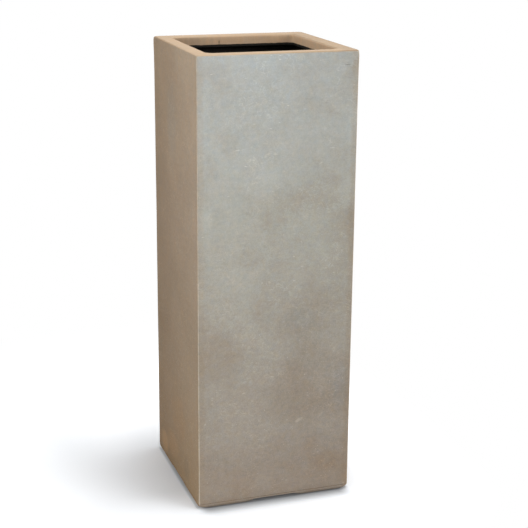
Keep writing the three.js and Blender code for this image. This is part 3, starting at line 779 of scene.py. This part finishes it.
def make_square_sweep():
    """The tree that carries a section round a square with rounded corners."""
    made, sheet, given = new_tree("square_sweep", {
        "Section": "Geometry", "Section Closes": "Int", "Corner Steps": "Int",
        "Side Steps": "Int", "Unevenness": "Float", "Uneven From": "Float",
        "Uneven To": "Float", "Uneven Beyond": "Float", "Seed": "Float",
        "Arch Height": "Float", "Arch Flat Half": "Float", "Arch Foot Half": "Float",
        "Material": "Material"})

    points = sheet.node("GeometryNodeAttributeDomainSize", None, {0: given["Section"]})
    rows = points + given["Section Closes"]
    per_quarter = given["Corner Steps"] + given["Side Steps"]
    grid = sheet.node("GeometryNodeMeshGrid", None,
                      {"Vertices X": per_quarter * 4.0 + 1.0, "Vertices Y": rows})

    index = sheet.node("GeometryNodeInputIndex")
    column = (index / rows).floor()
    place = (index - column * rows) % points
    quarter = (column / per_quarter).floor()
    step = column - quarter * per_quarter
    turned = (step / given["Corner Steps"]).at_most(1.0)
    along = (step - given["Corner Steps"]).at_least(0.0) / given["Side Steps"]

    def corner(number):
        angle = (number + 0.5) * (math.pi / 2)
        return sheet.vector(angle.cosine() * math.sqrt(2), angle.sine() * math.sqrt(2), 0.0)

    core = sheet.between(along, corner(quarter), corner(quarter + 1.0))
    angle = (quarter + turned) * (math.pi / 2)
    outward = sheet.vector(angle.cosine(), angle.sine(), 0.0)

    def sampled(field, kind):
        return sheet.node("GeometryNodeSampleIndex", {"data_type": kind},
                          {0: given["Section"], 1: field, "Index": place})

    def of_section(name):
        return sampled(sheet.node("GeometryNodeInputNamedAttribute",
                                  {"data_type": "FLOAT"}, {"Name": name}), "FLOAT")

    half, _, level = sheet.parts(sampled(sheet.node("GeometryNodeInputPosition"), "FLOAT_VECTOR"))
    core_half = of_section("core")
    square = sheet.summed(sheet.stretched(core, core_half),
                          sheet.stretched(outward, half - core_half))
    heading = sheet.node("ShaderNodeVectorMath", {"operation": "NORMALIZE"}, {0: square})
    flat = sheet.between(of_section("round"), square, sheet.stretched(heading, half))

    x, y, _ = sheet.parts(flat)

    def arch(distance):
        return sheet.fade(abs(distance), given["Arch Flat Half"], given["Arch Foot Half"],
                          given["Arch Height"], 0.0)

    lift = arch(x).at_least(arch(y))
    level = sheet.between(of_section("cut"), level, level.at_least(lift))
    level = level + lift * of_section("raised")
    smooth_point = sheet.summed(flat, sheet.vector(0.0, 0.0, level))

    swell = sheet.noise(smooth_point, 3.2, 1.0, 0.4, 0.0, seed=given["Seed"])
    dents = sheet.noise(smooth_point, 13.0, 2.0, 0.5, 0.0, seed=given["Seed"])
    depth = sheet.fade(swell, 0.25, 0.75) * 0.8 + sheet.fade(dents, 0.2, 0.8) * 0.2
    fade_length = 40 * MM
    on_wall = (sheet.fade(level, given["Uneven From"], given["Uneven From"] + fade_length)
               * sheet.fade(level, given["Uneven To"] - fade_length, given["Uneven To"], 1.0, 0.0)
               * sheet.fade(half, given["Uneven Beyond"] - 1 * MM, given["Uneven Beyond"]))
    sunk = sheet.stretched(outward, -(depth * on_wall * given["Unevenness"]))

    shaped = sheet.node("GeometryNodeSetPosition", None,
                        {"Geometry": grid, "Position": sheet.summed(smooth_point, sunk)})
    closed = sheet.node("GeometryNodeMergeByDistance", None,
                        {"Geometry": shaped, "Distance": 0.01 * MM})
    end_tree(sheet, closed, given["Material"])
    return made


def make_ribbed_shelf():
    """The tree that gives the moulded shelf its ribs, drain holes and finger holes."""
    made, sheet, given = new_tree("ribbed_shelf", {
        "Tray": "Geometry", "Cell Pitch": "Float", "Rib Length": "Float",
        "Rib Thickness": "Float", "Rib Foot": "Float", "Rib Top": "Float",
        "Hole Foot": "Float", "Hole Top": "Float", "Drain Radius": "Float",
        "Finger Radius": "Float", "Edge Break": "Float", "Material": "Material"})
    pitch = given["Cell Pitch"]
    rib_height = given["Rib Top"] - given["Rib Foot"]
    places = sheet.node("GeometryNodeMeshLine", {"mode": "OFFSET"}, {
        "Count": 2, "Start Location": sheet.vector(pitch * -0.5, 0.0,
                                                   given["Rib Foot"] + rib_height * 0.5),
        "Offset": sheet.vector(pitch, 0.0, 0.0)})
    rib = sheet.node("GeometryNodeMeshCube", None, {
        "Size": sheet.vector(given["Rib Thickness"], given["Rib Length"], rib_height)})
    one_way = sheet.node("GeometryNodeRealizeInstances", None, {
        "Geometry": sheet.node("GeometryNodeInstanceOnPoints", None,
                               {"Points": places, "Instance": rib})})
    other_way = sheet.node("GeometryNodeTransform", None, {
        "Geometry": one_way, "Rotation": (0.0, 0.0, math.pi / 2)})
    shape = sheet.node("GeometryNodeMeshBoolean", {"operation": "UNION", "solver": "MANIFOLD"},
                       {1: [given["Tray"], one_way, other_way]})

    cells = sheet.node("GeometryNodeMeshGrid", None, {
        "Size X": pitch * 2.0, "Size Y": pitch * 2.0, "Vertices X": 3, "Vertices Y": 3})
    x, y, _ = sheet.parts(sheet.node("GeometryNodeInputPosition"))
    at_side = sheet.fade(abs(x), 0.02, 0.03) * sheet.fade(abs(y), 0.02, 0.03, 1.0, 0.0)
    radius = sheet.between(at_side, given["Drain Radius"], given["Finger Radius"])

    slack = 1 * MM
    foot, top, broken = given["Hole Foot"], given["Hole Top"], given["Edge Break"]
    bores = ((foot - slack, top + slack, 1.0, 1.0),
             (foot - slack, foot + broken, 1.0 + EDGE_SPREAD, 1.0),
             (top - broken, top + slack, 1.0, 1.0 + EDGE_SPREAD))
    for bore_foot, bore_top, foot_spread, top_spread in bores:
        cone = sheet.node("GeometryNodeMeshCone", None, {
            "Vertices": 32, "Radius Top": top_spread, "Radius Bottom": foot_spread,
            "Depth": bore_top - bore_foot})
        raised = sheet.node("GeometryNodeSetPosition", None, {
            "Geometry": cells, "Offset": sheet.vector(0.0, 0.0, bore_foot)})
        cutters = sheet.node("GeometryNodeInstanceOnPoints", None, {
            "Points": raised, "Instance": cone, "Scale": sheet.vector(radius, radius, 1.0)})
        shape = sheet.node(
            "GeometryNodeMeshBoolean", {"operation": "DIFFERENCE", "solver": "MANIFOLD"},
            {0: shape, 1: sheet.node("GeometryNodeRealizeInstances", None, {"Geometry": cutters})})
    end_tree(sheet, shape, given["Material"], sharp_degrees=32)
    return made


def make_corner_copies():
    """The tree that sets one piece in each of the four corners."""
    made, sheet, given = new_tree("four_corners", {"Piece": "Geometry", "Material": "Material"})
    corners = sheet.node("GeometryNodeMeshLine", None, {"Count": 4, "Offset": (0.0, 0.0, 0.0)})
    quarter = sheet.node("GeometryNodeInputIndex") * (math.pi / 2)
    copies = sheet.node("GeometryNodeInstanceOnPoints", None, {
        "Points": corners, "Instance": given["Piece"],
        "Rotation": sheet.vector(0.0, 0.0, quarter)})
    end_tree(sheet, copies, given["Material"], sharp_degrees=32)
    return made


def run_tree(piece, tree, values):
    """Runs a tree on a piece and keeps the result as the piece's own mesh."""
    group, keys = tree
    modifier = piece.modifiers.new("shape", "NODES")
    modifier.node_group = group
    for name, value in values.items():
        modifier[keys[name]] = value
    evaluated = piece.evaluated_get(bpy.context.evaluated_depsgraph_get())
    mesh = bpy.data.meshes.new_from_object(evaluated)
    piece.modifiers.remove(modifier)
    # Blender puts an empty slot before the material that the tree sets.
    while mesh.materials[0] is None:
        mesh.materials.pop(index=0)
    piece.data = mesh
    return piece


# ---------------- pieces


def new_piece(name, mesh):
    piece = bpy.data.objects.new(name, mesh)
    bpy.context.scene.collection.objects.link(piece)
    return piece


def swept_piece(name, section, sweep, values):
    """A section carried round a square: even and without arches, unless the values say more."""
    mesh = bpy.data.meshes.new(name)
    mesh.from_pydata([(point[0], 0.0, point[1]) for point in section], [], [])
    for column, label in enumerate(("core", "round", "raised", "cut"), start=2):
        attribute = mesh.attributes.new(label, "FLOAT", "POINT")
        attribute.data.foreach_set("value", [point[column] for point in section])
    plain = {"Unevenness": 0.0, "Uneven From": 0.0, "Uneven To": 1.0, "Uneven Beyond": 1.0,
             "Arch Height": 0.0, "Arch Flat Half": ARCH_FLAT_HALF,
             "Arch Foot Half": ARCH_FOOT_HALF}
    return run_tree(new_piece(name, mesh), sweep, {**plain, **values})


def hand_over(piece, body, slot, *nodes):
    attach(piece, body)
    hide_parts(*nodes)


def make_shell(sweep, coat):
    piece = swept_piece("walls_and_rim", shell_section(), sweep, {
        "Section Closes": 1, "Corner Steps": 7, "Side Steps": 62, "Seed": 11.0,
        "Unevenness": WALL_UNEVENNESS, "Uneven From": WALL_FOOT + 6 * MM,
        "Uneven To": HEIGHT - FLARE_FOOT, "Uneven Beyond": WALL_HALF - 0.5 * MM,
        "Material": coat})
    hand_over(piece, "planter", "stone_coat", "planter_shell")


def make_base(sweep, coat):
    piece = swept_piece("moulded_foot", base_section(), sweep, {
        "Section Closes": 1, "Corner Steps": 7, "Side Steps": 62, "Seed": 12.0,
        "Arch Height": ARCH_HEIGHT, "Material": coat})
    hand_over(piece, "planter", "stone_coat", "base_pan")


def make_plug(sweep, rubber):
    piece = swept_piece("drain_bung", plug_section(), sweep, {
        "Section Closes": 0, "Corner Steps": 4, "Side Steps": 10, "Seed": 13.0,
        "Material": rubber})
    hand_over(piece, "plug", "black_rubber", "drain_plug")


def make_shelf(sweep, ribbed_shelf, finish):
    piece = swept_piece("lift_out_shelf", shelf_section(), sweep, {
        "Section Closes": 0, "Corner Steps": 8, "Side Steps": 12, "Seed": 14.0,
        "Material": finish})
    underside = SHELF_TOP - SHELF_THICKNESS
    run_tree(piece, ribbed_shelf, {
        "Cell Pitch": CELL_PITCH, "Rib Length": 2 * SHELF_ROOM_HALF + 4 * MM,
        "Rib Thickness": 4 * MM, "Rib Foot": underside - 14 * MM, "Rib Top": underside + 2 * MM,
        "Hole Foot": underside, "Hole Top": SHELF_TOP, "Drain Radius": 8 * MM,
        "Finger Radius": 16 * MM, "Edge Break": 1.2 * MM, "Material": finish})
    hand_over(piece, "shelf", "shelf_laminate", "planting_shelf")


def cleat_mesh():
    """The cleat where X and Y are both positive, swept round its corner of the walls."""
    thickness, flange, tip = 6 * MM, 4 * MM, 14 * MM
    corner_depth, tip_depth = 42 * MM, 16 * MM
    centre = BOND_HALF - BOND_CORNER_RADIUS
    leg = BOND_HALF - CLEAT_LEG_END
    straight = [share / 8 for share in range(8)]
    path = [(CLEAT_LEG_END + (centre - CLEAT_LEG_END) * share, BOND_HALF, 90.0)
            for share in straight]
    path += [(centre + BOND_CORNER_RADIUS * math.cos(math.radians(degrees)),
              centre + BOND_CORNER_RADIUS * math.sin(math.radians(degrees)), degrees)
             for degrees in range(90, -1, -10)]
    path += [(BOND_HALF, centre - (centre - CLEAT_LEG_END) * (share + 1 / 8), 0.0)
             for share in straight]
    shape = bmesh.new()
    loops = []
    for number, (x, y, degrees) in enumerate(path):
        share = number / (len(path) - 1)
        nearness = 1 - max(BOND_HALF - x, BOND_HALF - y) / leg
        foot = CLEAT_TOP - tip_depth - (corner_depth - tip_depth) * nearness
        inward = (-math.cos(math.radians(degrees)), -math.sin(math.radians(degrees)))
        inner = (x + flange * inward[0], y + flange * inward[1])
        front = (CLEAT_LEG_END + (BOND_HALF - tip - CLEAT_LEG_END) * share,
                 BOND_HALF - tip + (CLEAT_LEG_END - BOND_HALF + tip) * share)
        under = CLEAT_TOP - thickness
        loops.append([shape.verts.new(point) for point in (
            (x, y, CLEAT_TOP), (x, y, foot), (*inner, foot), (*inner, under),
            (*front, under), (*front, CLEAT_TOP))])
    for first, second in zip(loops, loops[1:]):
        for side in range(6):
            after = (side + 1) % 6
            shape.faces.new((first[side], first[after], second[after], second[side]))
    for end in (loops[0], loops[-1]):
        shape.faces.new(end[0:4])
        shape.faces.new((end[3], end[4], end[5], end[0]))
    bmesh.ops.recalc_face_normals(shape, faces=shape.faces)
    sharp = [edge for edge in shape.edges if edge.calc_face_angle(0.0) > math.radians(40)]
    bmesh.ops.bevel(shape, geom=sharp, offset=0.8 * MM, segments=2, profile=0.5,
                    affect="EDGES", clamp_overlap=True)
    mesh = bpy.data.meshes.new("shelf_cleats")
    shape.to_mesh(mesh)
    shape.free()
    return mesh


def make_cleats(corner_copies, finish):
    piece = new_piece("shelf_cleats", cleat_mesh())
    run_tree(piece, corner_copies, {"Material": finish})
    hand_over(piece, "planter", "black_laminate",
              "shelf_cleat_back_right", "shelf_cleat_back_left",
              "shelf_cleat_front_left", "shelf_cleat_front_right")


# ---------------- stage

FLOOR_COLOUR = (0.87, 0.90, 0.94)
FLOOR_REACH = 20.0
FLOOR_GAP = 0.2 * MM
FLOOR_LIFT = 0.32
LIT_SIDE_WEIGHT = 6.8
CONTACT_SHADE = 0.62
SIDE_SHADE = 0.55

WORLD_STRENGTH = 0.48
# Each lamp: name, place, what it points at, side in metres, and watts.
LAMPS = (
    ("overhead", (0.50, -0.22, 3.3), (0.0, 0.0, 0.0), 1.3, 52.0),
    ("front_right", (2.2, -2.6, 1.5), (0.0, 0.0, 0.5), 1.8, 34.0),
    ("left_fill", (-3.0, -1.2, 1.6), (0.0, 0.0, 0.5), 1.8, 20.0),
)

CAMERA_PLACE = Vector((-0.86991, -2.64056, 1.31992))
CAMERA_AHEAD = Vector((0.30932, 0.90763, -0.28377)).normalized()
CAMERA_RIGHT = Vector((0.94731, -0.32021, 0.00841))
FOCAL_PIXELS = 1291.9
FRAME_PIXELS = 528
SENSOR = 36.0


def make_camera():
    data = bpy.data.cameras.new("camera")
    data.sensor_width = SENSOR
    data.lens = SENSOR * FOCAL_PIXELS / FRAME_PIXELS
    camera = bpy.data.objects.new("camera", data)
    ahead = CAMERA_AHEAD
    right = (CAMERA_RIGHT - ahead * CAMERA_RIGHT.dot(ahead)).normalized()
    up = right.cross(ahead)
    turn = Matrix((right, up, -ahead)).transposed().to_4x4()
    camera.matrix_world = Matrix.Translation(CAMERA_PLACE) @ turn
    bpy.context.scene.collection.objects.link(camera)
    bpy.context.scene.camera = camera


def make_lamp(name, place, target, side, watts):
    data = bpy.data.lights.new(name, "AREA")
    data.shape = "RECTANGLE"
    data.size = data.size_y = side
    data.energy = watts
    lamp = bpy.data.objects.new(name, data)
    lamp.location = place
    lamp.rotation_euler = (Vector(target) - Vector(place)).to_track_quat("-Z", "Y").to_euler()
    bpy.context.scene.collection.objects.link(lamp)


def make_world(strength):
    """Even light from all round, which a direct look or a mirror shows as white."""
    world = bpy.data.worlds.new("studio")
    bpy.context.scene.world = world
    world.use_nodes = True
    sheet = Sheet(world.node_tree)
    path = sheet.node("ShaderNodeLightPath", None, None, "Is Camera Ray")
    sees = path.at_least(path.of_same_node("Is Glossy Ray"))
    level = sheet.node("ShaderNodeMix", {"data_type": "FLOAT"}, {0: sees, 2: strength, 3: 1.0})
    background = sheet.node("ShaderNodeBackground", None, {
        "Color": (1.0, 1.0, 1.0), "Strength": level})
    sheet.node("ShaderNodeOutputWorld", None, {"Surface": background})


def contact_shade(sheet, x, y, beyond_sides, beyond_ends):
    """Goes from 1 to nearly dark where the floor meets the planter's foot."""
    along_ends = sheet.fade(abs(x), HALF - 24 * MM, HALF + 8 * MM, 1.0, 0.0)
    along_sides = sheet.fade(abs(y), HALF - 16 * MM, HALF + 5 * MM, 1.0, 0.0)
    at_ends = sheet.fade(beyond_ends, -4 * MM, 38 * MM, 1.0, 0.0) * along_ends
    at_sides = sheet.fade(beyond_sides, 0.0, 6 * MM, 1.0, 0.0) * along_sides
    return 1.0 - at_ends.at_least(at_sides * SIDE_SHADE) * CONTACT_SHADE


def make_floor():
    """White far off, with the planter's shadow near it, and clear when looked at from below."""
    mesh = bpy.data.meshes.new("floor")
    corners = ((-1, -1), (1, -1), (1, 1), (-1, 1))
    mesh.from_pydata([(x * FLOOR_REACH, y * FLOOR_REACH, 0) for x, y in corners],
                     [], [(0, 1, 2, 3)])
    floor = bpy.data.objects.new("floor", mesh)
    bpy.context.scene.collection.objects.link(floor)
    floor.location.z = -FLOOR_GAP
    material, sheet, coordinates = new_material("white_floor")
    x, y, _ = sheet.parts(coordinates)
    left, right, front, back = ((way - HALF).at_least(0.0) for way in (-x, x, -y, y))
    away = (left * left + back * back + (right * right + front * front) * LIT_SIDE_WEIGHT) ** 0.5
    contact = contact_shade(sheet, x, y, left + right, front + back)
    seen = sheet.node("ShaderNodeLightPath", None, None, "Is Camera Ray")
    matt = sheet.node("ShaderNodeBsdfDiffuse", None, {
        "Color": shaded_by(sheet, FLOOR_COLOUR, contact)})
    beside = sheet.fade(x, 60 * MM - HALF, -HALF).at_least(sheet.fade(back, -10 * MM, 10 * MM))
    beside = beside * sheet.fade(left, 0.05, 0.24, 1.0, 0.0)
    spill = sheet.fade(y, 0.02, 0.30, 0.06, 0.24) + sheet.fade(-y, 0.06, 0.16, 0.0, 0.14)
    lift = (sheet.fade(away, -0.03, 0.30, 0.0, FLOOR_LIFT) + spill * beside) * contact * seen
    glow = sheet.node("ShaderNodeEmission", None, {"Color": (1.0, 1.0, 1.0), "Strength": lift})
    lit = sheet.node("ShaderNodeAddShader", None, {0: matt, 1: glow})
    white = sheet.node("ShaderNodeEmission", None, {"Color": (1.0, 1.0, 1.0), "Strength": 1.0})
    far = sheet.fade(away, 0.35, 0.9) * seen
    from_above = sheet.node("ShaderNodeMixShader", None, {0: far, 1: lit, 2: white})
    clear = sheet.node("ShaderNodeBsdfTransparent")
    below = sheet.node("ShaderNodeNewGeometry", None, None, "Backfacing")
    finish_with(sheet, sheet.node("ShaderNodeMixShader", None, {
        0: below * seen, 1: from_above, 2: clear}))
    mesh.materials.append(material)


# ---------------- the whole planter

bpy.context.scene.view_settings.view_transform = "Standard"
make_camera()
make_world(WORLD_STRENGTH)
for lamp in LAMPS:
    make_lamp(*lamp)
make_floor()

stone_coat = make_stone_coat()
black_laminate = make_dark_finish("bare_black_laminate", BLACK_RESIN, GLASS_STRAND, 0.6,
                                  INSIDE_DUST)
shelf_finish = make_dark_finish("dark_grey_shelf_laminate", SHELF_RESIN, SHELF_STRAND, 0.62,
                                SHELF_DUST)
square_sweep = make_square_sweep()
make_shell(square_sweep, stone_coat)
make_base(square_sweep, stone_coat)
make_plug(square_sweep, make_rubber())
make_shelf(square_sweep, make_ribbed_shelf(), shelf_finish)
make_cleats(make_corner_copies(), black_laminate)
